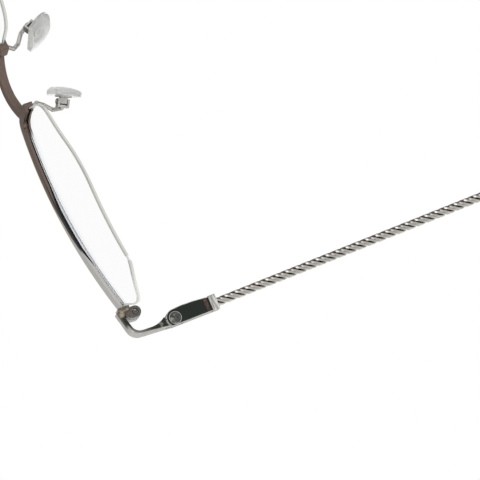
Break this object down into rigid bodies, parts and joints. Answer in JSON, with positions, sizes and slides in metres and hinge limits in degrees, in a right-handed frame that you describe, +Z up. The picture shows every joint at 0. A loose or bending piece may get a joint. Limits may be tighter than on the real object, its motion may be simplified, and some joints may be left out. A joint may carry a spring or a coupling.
{
  "type": "half rim eyeglasses",
  "caption": "Half rim glasses: metal upper rims, cord-held lenses, rocking nose pads and folding temples of twisted metal rope with curved ear tips.",
  "frame": {"origin": "middle of the bounding box at its base, with the temples unfolded", "axes": "+Z up as worn, the front faces -Y, the temples run to +Y, +X is the wearer's left"},
  "size_m": [0.144, 0.1534, 0.0325],
  "materials": {
    "lens": "clear, bare",
    "rim_metal": "brown metallic lacquer, brushed to silver at the hinge end",
    "bright_metal": "satin brushed silver",
    "dark_metal": "dark brown satin lacquer",
    "screw_metal": "turned and polished",
    "nylon": "clear nylon",
    "inlay_enamel": "dark green lacquer",
    "stripe_enamel": "reddish brown lacquer",
    "rope_metal": "drawn bright wire with dark gaps",
    "pad_silicone": "clear silicone",
    "tip_plastic": "black acetate"
  },
  "bodies": {
    "front": {"right_lens": "lens", "left_lens": "lens", "right_rim": "rim_metal", "left_rim": "rim_metal", "right_lens_cord": "nylon", "left_lens_cord": "nylon", "bridge": "rim_metal", "right_endpiece": "bright_metal", "left_endpiece": "bright_metal", "right_clamp_plate": "dark_metal", "left_clamp_plate": "dark_metal", "right_clamp_gasket": "nylon", "left_clamp_gasket": "nylon", "right_clamp_screw": "screw_metal", "left_clamp_screw": "screw_metal", "right_pad_arm": "bright_metal", "left_pad_arm": "bright_metal", "right_pad_screw": "screw_metal", "left_pad_screw": "screw_metal"},
    "right_temple": {"right_temple_block": "bright_metal", "right_inlay": "inlay_enamel", "right_stripe": "stripe_enamel", "right_end_cap": "bright_metal", "right_hinge_screw": "screw_metal", "right_hinge_washers": "nylon", "right_strand_a": "rope_metal", "right_strand_b": "rope_metal", "right_strand_c": "rope_metal", "right_ferrule": "bright_metal", "right_tip_core": "screw_metal", "right_tip": "tip_plastic"},
    "right_pad": {"right_nose_pad": "pad_silicone", "right_pad_lug": "bright_metal"},
    "left_temple": {"left_temple_block": "bright_metal", "left_inlay": "inlay_enamel", "left_stripe": "stripe_enamel", "left_end_cap": "bright_metal", "left_hinge_screw": "screw_metal", "left_hinge_washers": "nylon", "left_strand_a": "rope_metal", "left_strand_b": "rope_metal", "left_strand_c": "rope_metal", "left_ferrule": "bright_metal", "left_tip_core": "screw_metal", "left_tip": "tip_plastic"},
    "left_pad": {"left_nose_pad": "pad_silicone", "left_pad_lug": "bright_metal"}
  },
  "joints": [
    {"name": "right_temple_fold", "type": "hinge", "parent": "front", "child": "right_temple", "pos_m": [-0.0701, -0.05911, 0.02872], "axis": [0, 0, -1], "range_deg": [0, 85]},
    {"name": "right_pad_rock", "type": "hinge", "parent": "front", "child": "right_pad", "pos_m": [-0.01034, -0.06605, 0.01912], "axis": [-0.4019, 0.8915, 0.2091], "range_deg": [-8, 8]},
    {"name": "left_temple_fold", "type": "hinge", "parent": "front", "child": "left_temple", "pos_m": [0.0701, -0.05911, 0.02872], "axis": [0, 0, 1], "range_deg": [0, 90]},
    {"name": "left_pad_rock", "type": "hinge", "parent": "front", "child": "left_pad", "pos_m": [0.01034, -0.06605, 0.01912], "axis": [0.4019, 0.8915, 0.2091], "range_deg": [-8, 8]}
  ]
}
